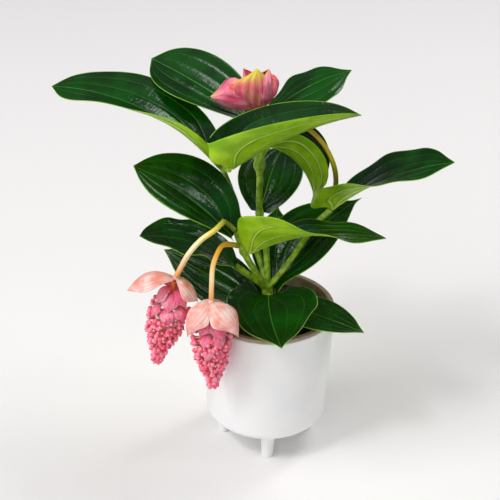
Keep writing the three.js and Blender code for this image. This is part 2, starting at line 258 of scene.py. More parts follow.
def veinLines(tree, veins, widthMm, midrib=1.6):
    # 1 on the midrib, where the line is so much wider, and on each pair of side veins; 0 beside them
    across, along, half = blade(tree)
    width = fade(along, 0.0, 1.0, widthMm * mm, 0.4 * widthMm * mm, "LINEAR")
    lines = None
    for share, begins, span in [(0.0, 0.0, 1.0), *veins]:
        left = fade(along, begins, begins + span, 1.0, 0.0, "LINEAR")
        path = times(minus(1.0, calc("POWER", left, veinSwing)), share)
        offset = times(calc("ABSOLUTE", minus(across, path)), half)
        reach = times(width, midrib if share == 0.0 else 1.0)
        line = fade(minus(1.0, calc("DIVIDE", offset, reach)), 0.0, 0.7)
        lines = line if lines is None else calc("MAXIMUM", lines, line)
    return lines


def marginLine(tree, widthMm):
    across, _, half = blade(tree)
    return fade(times(minus(1.0, across), half), 0.3 * widthMm * mm, widthMm * mm, 1.0, 0.0)


# side veins of a leaf: the share of the half width where each runs, where it leaves the midrib, and
# over what part of the length it swings out
leafVeins = [(0.36, 0.02, 0.4), (0.72, 0.0, 0.32)]
leafLook = {
    "deep": "#012a01", "fresh": "#034403", "vein": "#4f9a1c", "margin": "#86b82a",
    # on this line, the lower face's colour for the band along its ribs is painted shade
    "underDark": "#7cac04", "underLight": "#acd624", "underRibShade": "#5c8c08", "underVein": "#ccea66",
    "veinWidthMm": 0.75, "marginWidthMm": 1.0, "thickMm": 0.9, "thinMm": 0.6, "rows": 96, "columns": 44,
    "quiltMm": 1.1,  # how far the leaf swells between its veins
}


def leafTopMaterial():
    # Living leaf, upper face: a smooth waxy cuticle over deep green, so it shows glare that is
    # broken by fine cross veins. The midrib is a thin pale line, the side veins are fainter ones
    # in grooves.
    look = leafLook
    material, tree = newMaterial("waxy leaf upper face")
    green = mottle(tree, 45, look["deep"], look["fresh"], 2.0, 0.35, 0.68)
    veins = veinLines(tree, leafVeins, look["veinWidthMm"])
    midrib = veinLines(tree, [], look["veinWidthMm"], 1.3)
    veined = blendColours(plus(times(veins, 0.26), times(midrib, 0.4)), green, look["vein"])
    relief = plus(times(streaks(tree, 85.0, 2.5), 1.1), times(speckle(tree, 6), 1.2))
    return dress(material, {
        "Base Color": blendColours(marginLine(tree, look["marginWidthMm"]), veined, look["margin"]),
        "Roughness": fade(speckle(tree, 9), 0.3, 0.7, 0.12, 0.2),
        "Specular IOR Level": 0.42, "Specular Tint": (0.88, 1.0, 0.9, 1),
        "Normal": bump(minus(relief, times(veins, 0.7)), 0.35),
    })


def leafUnderMaterial():
    # Living leaf, lower face: matte lime green, its veins raised as rounded ribs, each with a pale vein line
    # down its middle and a darker band of painted shade along it.
    look = leafLook
    material, tree = newMaterial("matte leaf lower face")
    lime = mottle(tree, 30, look["underDark"], look["underLight"], 2.0)
    ribs = veinLines(tree, leafVeins, 7 * look["veinWidthMm"], 1.2)
    lines = veinLines(tree, leafVeins, 3.2 * look["veinWidthMm"], 1.2)
    # painted shade: a darker band over each raised rib and its sides stands in for the shade the ribs would
    # cast; the pale vein line is laid over it next
    ribShaded = blendColours(times(fade(ribs, 0.0, 0.5), 0.45), lime, look["underRibShade"])
    veined = blendColours(times(lines, 0.75), ribShaded, look["underVein"])
    relief = plus(times(ribs, 2.0), times(streaks(tree, 40.0, 3.0), 0.8))
    return dress(material, {
        "Base Color": blendColours(marginLine(tree, look["marginWidthMm"]), veined, look["margin"]),
        "Roughness": 0.45, "Specular IOR Level": 0.3,
        "Subsurface Weight": 0.12, "Subsurface Radius": (0.5, 1.0, 0.2), "Subsurface Scale": 0.003,
        "Normal": bump(plus(relief, times(speckle(tree, 2.5), 0.3)), 0.4),
    })


bladeDefaults = {
    "sweep": 0,  # change of heading along the blade
    "bend": 1,  # under 1, most of the droop comes near the stem
    "ease": 1,  # under 1, most of the change in roll, curl and fold comes near the stem
    "roll": (0, 0),  # at the base and the tip, raises the right-hand side
    "curl": (10, 10),  # how far each margin turns up
    "fold": (0, 0),  # crease along the midrib
    "widest": 0.45,
    "fullness": 0.7,
    "heel": 0,  # how far along its outline the blade starts
    "lobe": (0, 0),  # how far the left and right lobes reach back
    "share": (1, 1),  # of half the width, on the left and on the right
    "wave": (0, 3, 0),  # height, number and phase of the waves in the margin
    "steps": 13,  # of the midrib on the solid
}
pointedTip = 0.96  # the outline closes here, and the drip tip runs on to the end
midribSteps = 600  # that a midrib's course is summed in
rowEase = 0.06  # draws the rows together towards both ends
leastCurl = 1e-4  # radians, so that a flat blade can be worked out as a very slight curl
grooveMm = {"midrib": 2.2, "vein": 1.9}  # half widths of the furrows between the swellings
weldReach = 1e-6  # metres, in which doubled points become one


def halfWidth(shape, u):
    # in millimetres, at u from 0 at the base to 1 at the tip
    power = math.log(0.5) / math.log(shape["widest"] / pointedTip)
    along = np.minimum(1, (shape["heel"] + (1 - shape["heel"]) * u) / pointedTip)
    body = np.clip(np.sin(np.pi * along ** power), 0, 1) ** shape["fullness"]
    return shape["width"] / 2 * np.cbrt(body ** 3 + (0.3 * (1 - u)) ** 3)


def hermite(t, start, leaving, end, arriving):
    # a cubic from start to end with those slopes, for t from 0 to 1
    return (
        (2 * t ** 3 - 3 * t ** 2 + 1) * start + (t ** 3 - 2 * t ** 2 + t) * leaving
        + (3 * t ** 2 - 2 * t ** 3) * end + (t ** 3 - t ** 2) * arriving
    )


def smoothThrough(x, y, at):
    # a smooth curve through evenly spaced heights, with no overshoot below zero
    slope = np.gradient(y, x)
    k = np.clip(np.searchsorted(x, at, side="right") - 1, 0, len(x) - 2)
    width = x[k + 1] - x[k]
    value = hermite((at - x[k]) / width, y[k], width * slope[k], y[k + 1], width * slope[k + 1])
    return np.maximum(value, 0)


def directions(shape, u):
    # of the midrib at each u
    rise = np.radians(shape["rise"] - shape["droop"] * np.clip(u, 0, 1) ** shape["bend"])
    heading = np.radians(shape["heading"] + shape["sweep"] * u)
    return np.stack([np.cos(rise) * np.cos(heading), np.cos(rise) * np.sin(heading), np.sin(rise)], -1)


def veinPath(vein, u):
    share, begins, span = vein
    return share * (1 - (1 - np.clip((u - begins) / span, 0, 1)) ** veinSwing)


def buildBlade(options, veins, look):
    # one blade as its points, its faces, the number of each face's material, and its attributes
    shape = {**bladeDefaults, **options}
    rows, columns = look["rows"], look["columns"]
    # u runs from the base to the tip, w from the left margin to the right
    u = np.linspace(0, 1, rows + 1)
    u = u - rowEase * np.sin(2 * np.pi * u)
    fine = np.linspace(0, 1, midribSteps + 1)
    forward = directions(shape, fine + 0.5 / shape["steps"])
    travelled = np.cumsum((forward[1:] + forward[:-1]) / 2, 0)
    travelled = np.concatenate([[np.zeros(3)], travelled]) / midribSteps
    heading = math.radians(shape["heading"])
    outward = np.array([math.cos(heading), math.sin(heading), 0])
    first = np.array(shape["from"], float) + shape["start"] * outward
    spine = first + shape["length"] * np.stack([np.interp(u, fine, travelled[:, k]) for k in range(3)], -1)
    along = directions(shape, u)
    facing = np.radians(shape["heading"] + shape["sweep"] * u)
    side = np.stack([np.sin(facing), -np.cos(facing), 0 * u], -1)
    up = np.cross(side, along)
    turn = (u ** shape["ease"])[:, None]
    roll, curl, fold = [
        np.radians(shape[key][0] + (shape[key][1] - shape[key][0]) * turn) for key in ("roll", "curl", "fold")
    ]
    curl = np.where(np.abs(curl) < leastCurl, leastCurl, curl)
    w = np.linspace(-1, 1, columns + 1)[None, :]
    hand = np.sign(w)
    share, reach = [np.where(w < 0, *shape[key]) for key in ("share", "lobe")]
    coarse = np.linspace(0, 1, shape["steps"] + 1)
    half = smoothThrough(coarse, halfWidth(shape, coarse), u)[:, None] * share
    start = roll + hand * fold
    end = start + curl * w
    out = half * (np.sin(end) - np.sin(start)) / curl
    raised = half * (np.cos(start) - np.cos(end)) / curl
    height, count, phase = shape["wave"]
    column = u[:, None]
    ripple = height * w * w * np.sin(np.pi * column) * np.sin(2 * np.pi * count * column + phase + hand)
    # swells between the veins, flat at the base, the tip and the margin
    grooves = np.exp(-((np.abs(w) * half) / grooveMm["midrib"]) ** 2)
    for vein in veins:
        offset = (np.abs(w) - veinPath(vein, column)) * half
        grooves = np.maximum(grooves, np.exp(-(offset / grooveMm["vein"]) ** 2))
    calm = np.clip(np.sin(np.pi * column), 0, 1) ** 0.5 * np.clip((1 - np.abs(w)) * half / 4, 0, 1)
    ripple = ripple + look["quiltMm"] * (0.35 - grooves) * calm
    back = -reach * np.sin(0.8 * np.pi * np.abs(w)) ** 5 * (1 - column) ** 3
    normal = -side[:, None] * np.sin(end)[..., None] + up[:, None] * np.cos(end)[..., None]
    top = (
        spine[:, None] + side[:, None] * out[..., None] + up[:, None] * raised[..., None]
        + normal * ripple[..., None] + along[:, None] * back[..., None]
    )
    thick = look["thinMm"] + (look["thickMm"] - look["thinMm"]) * (1 - np.abs(w) ** 3) * (1 - 0.5 * column)
    under = top - normal * thick[..., None]
    wide = columns + 1
    shift = top.shape[0] * wide
    points = np.concatenate([top.reshape(-1, 3), under.reshape(-1, 3)])
    grid = (np.arange(rows)[:, None] * wide + np.arange(columns)[None, :]).reshape(-1)
    upper = np.stack([grid, grid + 1, grid + 1 + wide, grid + wide], -1)
    lower = upper[:, ::-1] + shift
    rim = np.concatenate([
        np.arange(columns), np.arange(rows) * wide + columns,
        rows * wide + np.arange(columns, 0, -1), np.arange(rows, 0, -1) * wide,
    ])
    after = np.roll(rim, -1)
    edge = np.stack([after, rim, rim + shift, after + shift], -1)
    spread = {
        "across": np.broadcast_to(w, half.shape),
        "along": np.broadcast_to(column, half.shape),
        "half": half * mm,
    }
    attributes = {key: np.tile(values.reshape(-1), 2) for key, values in spread.items()}
    kinds = np.concatenate([np.zeros(len(upper)), np.ones(len(lower)), np.zeros(len(edge))]).astype(int)
    return points, np.concatenate([upper, lower, edge]), kinds, attributes


def baked(piece):
    # the mesh that a piece's modifiers make
    return bpy.data.meshes.new_from_object(piece.evaluated_get(bpy.context.evaluated_depsgraph_get()))


def finishPiece(piece, replaced, reach=0.0):
    # welds a piece, if given a reach, and tells the frame what it is
    if reach:
        piece.modifiers.new("weld", "WELD").merge_threshold = reach
        mesh = baked(piece)
        piece.modifiers.clear()
        piece.data = mesh
    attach(piece, "root")
    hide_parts(*replaced)


def makePiece(name, blocks, materials, replaced):
    # blocks of points, faces, material numbers and attributes as one smooth piece in the frame
    points, faces, kinds, attributes, count = [], [], [], {}, 0
    for blockPoints, blockFaces, blockKinds, blockAttributes in blocks:
        points.append(inRow(blockPoints))
        faces.append(np.asarray(blockFaces) + count)
        kinds.append(blockKinds)
        for key, values in blockAttributes.items():
            attributes.setdefault(key, []).append(values)
        count += len(blockPoints)
    mesh = bpy.data.meshes.new(name)
    mesh.from_pydata(np.concatenate(points).tolist(), [], np.concatenate(faces).tolist())
    for key, values in attributes.items():
        stored = mesh.attributes.new(key, "FLOAT", "POINT")
        stored.data.foreach_set("value", np.concatenate(values).astype(np.float32))
    for material in materials:
        mesh.materials.append(material)
    mesh.polygons.foreach_set("material_index", np.concatenate(kinds).astype(np.int32))
    mesh.shade_smooth()
    finishPiece(newObject(name, mesh), replaced, weldReach)


stemNode = {
    "foot": (-2, 6, 150),
    "crown": (-2, 5, 217),
    "lowLeft": (-43, -6, 255),
    "left": (-34, -18, 284),
    "leftLeaf": (-41, -16, 303),
    "leftEnd": (-43, -16, 310),
    "upperLeft": (-54, -8, 391),
    "farLeft": (-71, 8, 393),
    "middle": (-15, 46, 303),
    "upper": (-17, 46, 371),
    "drooping": (-8, 46, 396),
    "top": (-22, 70, 418),
    "right": (75, 50, 308),
}

leaves = {
    "leaf_far_left": {
        "from": stemNode["farLeft"], "heading": 157, "sweep": 12, "rise": 45, "droop": 48, "bend": 0.9,
        "start": 3.4, "length": 224, "width": 101, "roll": (-16, 12), "fold": (26, 0), "curl": (34, 2),
        "widest": 0.47, "fullness": 0.4, "wave": (2, 2, 0),
    },
    "leaf_upper_left": {
        "from": stemNode["top"], "heading": 165, "sweep": -11, "rise": 37, "droop": 23, "bend": 0.8,
        "start": 4.1, "length": 152, "width": 98, "roll": (8, 20), "fold": (12, 2), "curl": (18, 6),
        "widest": 0.54, "fullness": 0.4,
    },
    "leaf_upper_right": {
        "from": stemNode["top"], "heading": 16, "rise": 46, "droop": 36, "start": 4.1,
        "length": 133, "width": 91, "roll": (6, -14), "fold": (-3, -11), "curl": (11, -10),
        "widest": 0.57, "fullness": 0.78, "share": (1, 0.85), "wave": (2, 3, 0),
    },
    "leaf_top": {
        "from": stemNode["upperLeft"], "heading": 9, "sweep": 9, "rise": 36, "droop": 32, "bend": 1.2,
        "start": 4.8, "length": 170, "width": 129, "ease": 0.5, "roll": (1, 8), "fold": (44, 17),
        "curl": (62, 18), "widest": 0.28, "fullness": 0.4, "heel": 0.1, "lobe": (0, 11), "share": (0.83, 1),
    },
    "leaf_middle_left": {
        "from": stemNode["leftLeaf"], "heading": 181, "rise": 54, "droop": 27, "bend": 0.9, "start": 7.4,
        "length": 153, "width": 110, "roll": (22, 18), "fold": (27, 0), "curl": (21, -5),
        "widest": 0.5, "fullness": 0.5, "share": (0.84, 1),
    },
    "leaf_drooping": {
        "from": stemNode["drooping"], "heading": 3, "sweep": 6, "rise": 10, "droop": 85, "bend": 0.55,
        "start": 2, "length": 92, "width": 92, "roll": (1, -20), "fold": (58, 48), "curl": (20, 11),
        "widest": 0.41, "fullness": 0.51,
    },
    "leaf_centre": {
        "from": (-32.5, -24.5, 283), "heading": 9, "sweep": -28, "rise": 32, "droop": 33, "bend": 0.86,
        "start": 4.8, "length": 174, "width": 118, "ease": 0.5, "roll": (55, 3), "fold": (27, 0),
        "curl": (54, 0), "widest": 0.31, "fullness": 0.6, "share": (0.72, 1.28),
        "wave": (2.4, 3, 0.7),
    },
    "leaf_far_right": {
        "from": stemNode["right"], "heading": -13, "sweep": -17, "rise": 50, "droop": 29, "bend": 0.92,
        "start": 1.8, "length": 182, "width": 109, "ease": 0.5, "roll": (46, -17), "fold": (22, -2),
        "curl": (57, 5), "widest": 0.48, "fullness": 0.6, "heel": 0.14, "lobe": (0, 16),
        "wave": (2.2, 3, 0.4),
    },
    "leaf_lower_left": {
        "from": stemNode["lowLeft"], "heading": 193, "sweep": 8, "rise": 51, "droop": 44, "bend": 0.95,
        "start": 0.8, "length": 139, "width": 88, "roll": (8, 1), "fold": (8, -3), "curl": (19, 7),
        "widest": 0.46, "fullness": 0.45, "wave": (3, 3, -0.5),
    },
    "leaf_low_left": {
        "from": (-5, 8, 188), "heading": 168, "rise": 26, "droop": 0, "start": 2.8,
        "length": 146, "width": 92, "roll": (18, 15),
    },
    "leaf_front": {
        "from": (-1, -4.5, 213), "heading": -92, "sweep": 20, "rise": 2, "droop": 12, "start": 0.8,
        "length": 107, "width": 122, "share": (1, 0.88), "roll": (-2, -2), "fold": (5, 6), "curl": (22, 3),
        "widest": 0.41, "fullness": 0.7, "heel": 0.16, "lobe": (12, 26), "wave": (3, 2, 1),
    },
    "leaf_front_right": {
        "from": (-2, 5, 199), "heading": -28, "rise": 5, "droop": 12, "start": 6.4,
        "length": 130, "width": 72, "curl": (5, 5),
    },
    "leaf_back_low": {
        "from": (-2, 5, 204), "heading": 84, "rise": 43, "droop": 10, "start": 7,
        "length": 128, "width": 58, "widest": 0.52, "fullness": 1.1,
    },
    "leaf_back_right": {
        "from": (-2, 5, 216), "heading": 37, "sweep": -4, "rise": 55, "droop": 40, "start": 7.1,
        "length": 168, "width": 96, "roll": (-11, -1), "fold": (8, 6), "curl": (19, 17),
        "widest": 0.46, "fullness": 1.1,
    },
    "leaf_back": {
        "from": stemNode["middle"], "heading": 72, "rise": 56, "droop": 48, "start": 3.5,
        "length": 104, "width": 84, "curl": (10, 5), "widest": 0.5, "fullness": 0.5,
    },
}

leafMaterials = [leafTopMaterial(), leafUnderMaterial()]
for name, shape in leaves.items():
    blocks = [buildBlade(shape, leafVeins, leafLook)]
    makePiece(name.replace("leaf_", "fineLeaf_"), blocks, leafMaterials, [name])
print("leaves made:", len(leaves))


# stems and flower stalks

stemLook = {
    "green": "#b0d838", "darkGreen": "#6c9c14", "ridge": "#7a4218", "stalkRidge": "#c07828",
    "sides": 28, "ridges": 4.0,
    "ridgeDepth": 0.07,  # share of the radius
    "spacingMm": 2.0,
    "radiusMm": {"trunk": 6.5, "main": 3.9, "upper": 3.2, "petiole": 3, "stalk": 3.1},
    "joints": {"left": 1.5, "middle": 1.5, "upper": 3.6},  # by how much the stem swells there
    "jointLongMm": 4.0,
}


def smoothPath(points, spacing):
    # centripetal Catmull-Rom through the points, at about that spacing
    knots = np.array(points, float)
    knots = np.concatenate([[2 * knots[0] - knots[1]], knots, [2 * knots[-1] - knots[-2]]])
    path = []
    for a, b, c, d in zip(knots, knots[1:], knots[2:], knots[3:]):
        before, here, after = [max(1e-4, np.linalg.norm(span) ** 0.5) for span in (b - a, c - b, d - c)]
        leaving = here * ((b - a) / before - (c - a) / (before + here) + (c - b) / here)
        arriving = here * ((c - b) / here - (d - b) / (here + after) + (d - c) / after)
        steps = max(2, round(np.linalg.norm(c - b) / spacing))
        share = (np.arange(steps) / steps)[:, None]
        path.append(hermite(share, b, leaving, c, arriving))
    return np.concatenate([*path, [knots[-2]]])


def newTree(name, sockets):
    # a Geometry Nodes tree with these named inputs beside its geometry
    tree = bpy.data.node_groups.new(name, "GeometryNodeTree")
    for key, kind in {"Geometry": "Geometry", **sockets}.items():
        tree.interface.new_socket(key, in_out="INPUT", socket_type="NodeSocket" + kind)
    tree.interface.new_socket("Geometry", in_out="OUTPUT", socket_type="NodeSocketGeometry")
    return tree, addNode(tree, "NodeGroupInput").outputs


def coat(geometry, material, smooth=True):
    # makes instances real and gives them their material
    tree = geometry.id_data
    geometry = output(tree, "GeometryNodeRealizeInstances", {"Geometry": geometry})
    if smooth:
        geometry = output(tree, "GeometryNodeSetShadeSmooth", {"Geometry": geometry})
    return output(tree, "GeometryNodeSetMaterial", {"Geometry": geometry, "Material": material})


def moved(geometry, where):
    # where is an offset or a position, by name
    return output(geometry.id_data, "GeometryNodeSetPosition", {"Geometry": geometry, **where})


def upPart(vector):
    return output(vector.id_data, "ShaderNodeSeparateXYZ", {0: vector}, "Z")


def scaled(vector, by):
    return output(vector.id_data, "ShaderNodeVectorMath", {0: vector, "Scale": by}, operation="SCALE")


def strandTree(material):
    # sweeps a ridged round section along every spline of a curve
    tree, given = newTree("strand", {"Sides": "Int", "Ridges": "Float", "Ridge Depth": "Float"})

    def stored(geometry, key, value):
        inputs = {"Geometry": geometry, "Name": key, "Value": value}
        return output(tree, "GeometryNodeStoreNamedAttribute", inputs, data_type="FLOAT", domain="POINT")

    reach = output(tree, "GeometryNodeSplineParameter", socket="Factor")
    circle = output(tree, "GeometryNodeCurvePrimitiveCircle", {"Resolution": given["Sides"], "Radius": 1.0})
    ridge = calc("COSINE", times(reach, 2 * math.pi, given["Ridges"]))
    outward = scaled(output(tree, "GeometryNodeInputPosition"), times(ridge, given["Ridge Depth"]))
    section = moved(stored(circle, "ridge", ridge), {"Offset": outward})
    swept = output(tree, "GeometryNodeCurveToMesh", {
        "Curve": stored(given["Geometry"], "reach", reach), "Profile Curve": section,
        "Scale": output(tree, "GeometryNodeInputRadius"), "Fill Caps": True,
    })
    addNode(tree, "NodeGroupOutput", {"Geometry": coat(swept, material)})
    return tree


def grow(name, base, tree, values):
    # runs a tree on base and keeps the result as a plain mesh
    modifier = base.modifiers.new("grow", "NODES")
    modifier.node_group = tree
    for item in tree.interface.items_tree:
        if item.in_out == "INPUT" and item.name in values:
            modifier[item.identifier] = values[item.name]
    mesh = baked(base)
    mesh.name = name
    bpy.data.objects.remove(base)
    return newObject(name, mesh)


def strands(name, rods, material, replaced):
    # rods are lists of points with a radius at each, in millimetres
    curve = bpy.data.curves.new(name, "CURVE")
    curve.dimensions = "3D"
    for path, radii in rods:
        spline = curve.splines.new("POLY")
        spline.points.add(len(path) - 1)
        spline.points.foreach_set("co", np.c_[inRow(path), np.ones(len(path))].ravel())
        spline.points.foreach_set("radius", np.asarray(radii, float) * mm)
    swept = grow(name, newObject(name, curve), strandTree(material), {
        "Sides": stemLook["sides"], "Ridges": stemLook["ridges"], "Ridge Depth": stemLook["ridgeDepth"],
    })
    finishPiece(swept, replaced)


def swollen(path, radius):
    # the radius along a path, larger where a joint of the stem lies
    radii = np.full(len(path), float(radius))
    for joint, swell in stemLook["joints"].items():
        away = np.linalg.norm(path - np.array(stemNode[joint]), axis=1)
        radii += swell * np.exp(-(away / (stemLook["jointLongMm"] * max(1, swell / 2))) ** 2)
    return radii


def stemMaterial():
    # Green bark of a young stem: satin skin, corky brown along its four ridges and in spots.
    material, tree = newMaterial("green stem skin")
    green = mottle(tree, 7, stemLook["darkGreen"], stemLook["green"])
    cork = times(fade(attribute(tree, "ridge"), 0.72, 0.95), fade(speckle(tree, 9), 0.5, 0.62))
    brown = calc("MAXIMUM", cork, times(fade(speckle(tree, 2.4, 2.0), 0.66, 0.72), 0.7))
    return dress(material, {
        "Base Color": blendColours(brown, green, stemLook["ridge"]),
        "Roughness": fade(brown, 0.0, 1.0, 0.38, 0.7),
        "Normal": bump(plus(speckle(tree, 1.5), times(brown, 0.6)), 0.3),
    })


def stalkMaterial(name, stops):
    # Fleshy flower stalk: satin, with its colour changing from the stem to the flower head.
    material, tree = newMaterial(name)
    ridge = times(fade(attribute(tree, "ridge"), 0.6, 1.0), 0.35)
    colour = rampColours(attribute(tree, "reach"), stops)
    return dress(material, {
        "Base Color": blendColours(ridge, colour, stemLook["stalkRidge"]),
        "Roughness": 0.4, "Subsurface Weight": 0.15, "Subsurface Scale": 0.002,
        "Normal": bump(speckle(tree, 2.0), 0.15),
    })


behind = [(-16, 34, 250), (-40, 50, 290), (-53, 55, 332), (-62, 36, 368)]
stemRuns = [
    ("trunk", ["foot", "crown"]),
    ("petiole", [(-2, 5, 209), (-1, -4.5, 213)]),
    ("main", ["crown", "lowLeft"]),
    ("main", ["crown", (-14, -5, 240), "left", "leftLeaf", "leftEnd"]),
    ("main", ["crown", *behind, "upperLeft"]),
    ("upper", [behind[-1], "farLeft"]),
    ("main", ["crown", (-6, 34, 262), "middle", "upper", (-22, 56, 392), "top"]),
    ("main", ["upper", (-14, 46, 386), "drooping"]),
    ("main", ["crown", (18, 10, 244), (42, 32, 272), (57, 46, 290), "right"]),
]
stemRods = []
for kind, spots in stemRuns:
    path = smoothPath([stemNode.get(spot, spot) for spot in spots], stemLook["spacingMm"])
    stemRods.append((path, swollen(path, stemLook["radiusMm"][kind])))
strands("fineStems", stemRods, stemMaterial(), ["stems"])

hubs = {"left": (-114, -68, 275), "right": (-70.5, -89.6, 255.5), "bud": (-18, 52, 447)}
stalks = {
    "left": {
        "points": [
            (-44.9, -15.5, 311.8), (-53, -14, 319), (-58, -27, 330), (-61, -49, 339),
            (-69, -64, 338), (-83, -69, 329), (-97, -69, 311), (-109, -69, 287),
        ],
        "stops": [(0.0, "#7f9a18"), (0.28, "#c8c832"), (0.5, "#ecdc62"), (0.7, "#fdf0c8"), (1.0, "#ec9c44")],
    },
    "right": {
        "points": [
            (-41.4, -22.1, 294), (-49, -39, 305.5), (-60, -55, 312), (-69, -70, 296), (-70.5, -83, 273),
        ],
        "stops": [(0.0, "#8a9a1c"), (0.22, "#e0b42c"), (0.5, "#fcb828"), (0.75, "#fde4b0"), (1.0, "#ec9c44")],
    },
    "bud": {
        "points": [
            (76.2, 51.8, 310.2), (77, 55, 321), (79, 47, 347), (74, 35, 379),
            (62, 34, 404), (43, 36, 424), (18, 43, 434), (-1, 48, 439),
        ],
        "stops": [
            (0.0, "#6a8a1c"), (0.16, "#a0a81c"), (0.42, "#d8cc24"), (0.62, "#c0a02c"), (1.0, "#a8682c"),
        ],
    },
}
for key, stalk in stalks.items():
    path = smoothPath([*stalk["points"], hubs[key]], stemLook["spacingMm"])
    rod = (path, np.full(len(path), stemLook["radiusMm"]["stalk"]))
    material = stalkMaterial("fleshy stalk " + key, stalk["stops"])
    strands("fineStalk_" + key, [rod], material, ["stalk_" + key])
print("stems and stalks made")


# bracts

bractVeins = [(0.22, 0.02, 0.3), (0.45, 0.0, 0.25), (0.68, 0.0, 0.2), (0.86, 0.0, 0.1)]
bractLook = {
    "blush": "#ffdcd6", "rose": "#ff9c90", "innerRose": "#fba2a0", "vein": "#e48660", "tip": "#eea878",
    "pink": "#ff6c94", "palePink": "#ffacbc", "pinkVein": "#ea5078",
    "veinWidthMm": 0.7, "quiltMm": 0.9, "thickMm": 0.8, "thinMm": 0.5, "rows": 40, "columns": 32,
}
bractDefaults = {"start": 2, "steps": 5, "widest": 0.5, "fullness": 0.6}


def buildBract(shape, place, look=bractLook):
    return buildBlade({**bractDefaults, **shape, "from": place}, bractVeins, look)


def bractMaterial(name, base, tint, vein, tip, tipFrom, veinShare=0.55):
    # Petal-like bract: soft matte tissue that lets some light through, with fine veins.
    material, tree = newMaterial(name)
    ground = mottle(tree, 14, base, tint, 2.0)
    wrinkles = streaks(tree, 3.0, 5.0)
    lines = times(veinLines(tree, bractVeins, bractLook["veinWidthMm"]), fade(wrinkles, 0.35, 0.6))
    veined = blendColours(times(lines, veinShare), ground, vein)
    relief = plus(times(wrinkles, 7.0), times(speckle(tree, 2.5), 0.6))
    return dress(material, {
        "Base Color": blendColours(fade(attribute(tree, "along"), tipFrom, 1.0), veined, tip),
        "Roughness": 0.5, "Specular IOR Level": 0.25,
        "Subsurface Weight": 0.12, "Subsurface Radius": (1.0, 0.45, 0.35), "Subsurface Scale": 0.004,
        "Normal": bump(minus(relief, lines), 0.3),
    })


def gridFaces(rings, turns, flip=False):
    # quads between rings of points that close on themselves
    ring, step = np.meshgrid(np.arange(rings), np.arange(turns), indexing="ij")
    start, after = ring * turns, (step + 1) % turns
    corners = [start + step, start + turns + step, start + turns + after, start + after]
    return np.stack([corners[k] for k in ((0, 3, 2, 1) if flip else (0, 1, 2, 3))], -1).reshape(-1, 4)


def knob(centre, radius=3.6, rings=12, turns=20):
    # a round knob that bracts grow from
    theta = np.linspace(0, np.pi, rings + 1)[:, None]
    phi = np.linspace(0, 2 * np.pi, turns, endpoint=False)[None, :]
    ball = [np.sin(theta) * np.cos(phi), np.sin(theta) * np.sin(phi), np.cos(theta) + 0 * phi]
    points = np.stack(ball, -1).reshape(-1, 3) * radius + np.array(centre)
    marks = {"across": 0.5, "along": 0.1, "half": radius * mm}
    attributes = {key: np.full(len(points), value) for key, value in marks.items()}
    return points, gridFaces(rings, turns), np.zeros(rings * turns, int), attributes


outerBract, innerBract, pinkBract = [
    bractMaterial(name, *[bractLook[key] for key in (*keys, "tip")], tipFrom)
    for name, keys, tipFrom in [
        ("blush bract outside", ("blush", "rose", "vein"), 0.85),
        ("rose bract inside", ("innerRose", "rose", "vein"), 0.85),
        ("pink bract", ("pink", "palePink", "pinkVein"), 0.92),
    ]
]

bractRings = {
    "left": [
        {
            "heading": 186, "rise": 38, "droop": 92, "length": 66, "width": 46,
            "curl": (-40, -55), "fullness": 0.7,
        },
        {"heading": 352, "rise": -14, "droop": 62, "length": 42, "width": 42, "curl": (-45, -65)},
        {"heading": 90, "rise": -15, "droop": 55, "length": 44, "width": 38, "curl": (-40, -60)},
    ],
    "right": [
        {
            "heading": 212, "sweep": 12, "rise": 14, "droop": 106, "length": 57, "width": 48,
            "curl": (-55, -70), "widest": 0.38, "fullness": 1,
        },
        {
            "heading": -40, "sweep": 6, "rise": 24, "droop": 106, "length": 60, "width": 56,
            "curl": (-60, -70), "widest": 0.38, "fullness": 1,
        },
        *[
            {"heading": heading, "rise": 0, "droop": 90, "length": 52, "width": 48, "curl": (-50, -70)}
            for heading in (55, 135)
        ],
    ],
}
for key, ring in bractRings.items():
    blocks = [knob(hubs[key]), *[buildBract(shape, hubs[key]) for shape in ring]]
    makePiece("fineBracts_" + key, blocks, [outerBract, innerBract], ["bracts_" + key])

# the second bract is the hood, which has a material of its own
budRing = [
    {
        "heading": 190, "rise": -14, "droop": -56, "bend": 1.3, "length": 64, "width": 104,
        "curl": (162, 175), "roll": (-30, -30), "fullness": 0.32,
    },
    {
        "heading": -96, "sweep": 40, "rise": 20, "droop": -116, "length": 60, "width": 94,
        "curl": (66, 112), "roll": (-10, -22), "fullness": 0.4, "widest": 0.56,
    },
    {"heading": 156, "rise": 56, "droop": -14, "length": 50, "width": 34, "curl": (40, 60)},
    {"heading": 28, "rise": 44, "droop": -62, "length": 50, "width": 60, "curl": (80, 140), "fullness": 0.25},
]
budLook = {**bractLook, "quiltMm": 3.0}
budRose = bractMaterial("rose bud bract", "#ff6288", "#ffa0b0", "#dc4060", "#f8ac84", 0.86, 0.6)
budHood = bractMaterial("rose bud hood", "#ff5c84", "#ff9886", "#e04c66", "#dcd42c", 0.6, 0.45)
blocks = [knob(hubs["bud"])]
for order, shape in enumerate(budRing):
    points, faces, _, attributes = buildBract(shape, hubs["bud"], budLook)
    blocks.append((points, faces, np.full(len(faces), int(order == 1)), attributes))
makePiece("fineBud", blocks, [budRose, budHood], ["bud"])
print("bracts made")


# heads of berries

headLook = {
    "tufts": 46, "berriesInTuft": 6, "berryMm": 5.4, "axisMm": 2.8, "branchMm": 1.1, "tuftMm": 5.3,
    "first": 0.34, "last": 0.985,  # where along the head the tufts begin and end
    "packing": 0.9,  # under 1, the tufts lie closer towards the tip
    "proudMm": (-2.6, 1.0),  # how far a berry stands out from its tuft
    "branchRiseMm": 6.0,  # from the tuft up to where its branches leave the axis
    "seed": 11,
    "berry": "#ff4a76", "berryPale": "#ffa8ba", "cream": "#fde8d0", "salmon": "#f0a88c",
    "axisStops": [(0.0, "#c8702c"), (0.25, "#e08c40"), (0.45, "#f4b490"), (1.0, "#f8b8ac")],
}
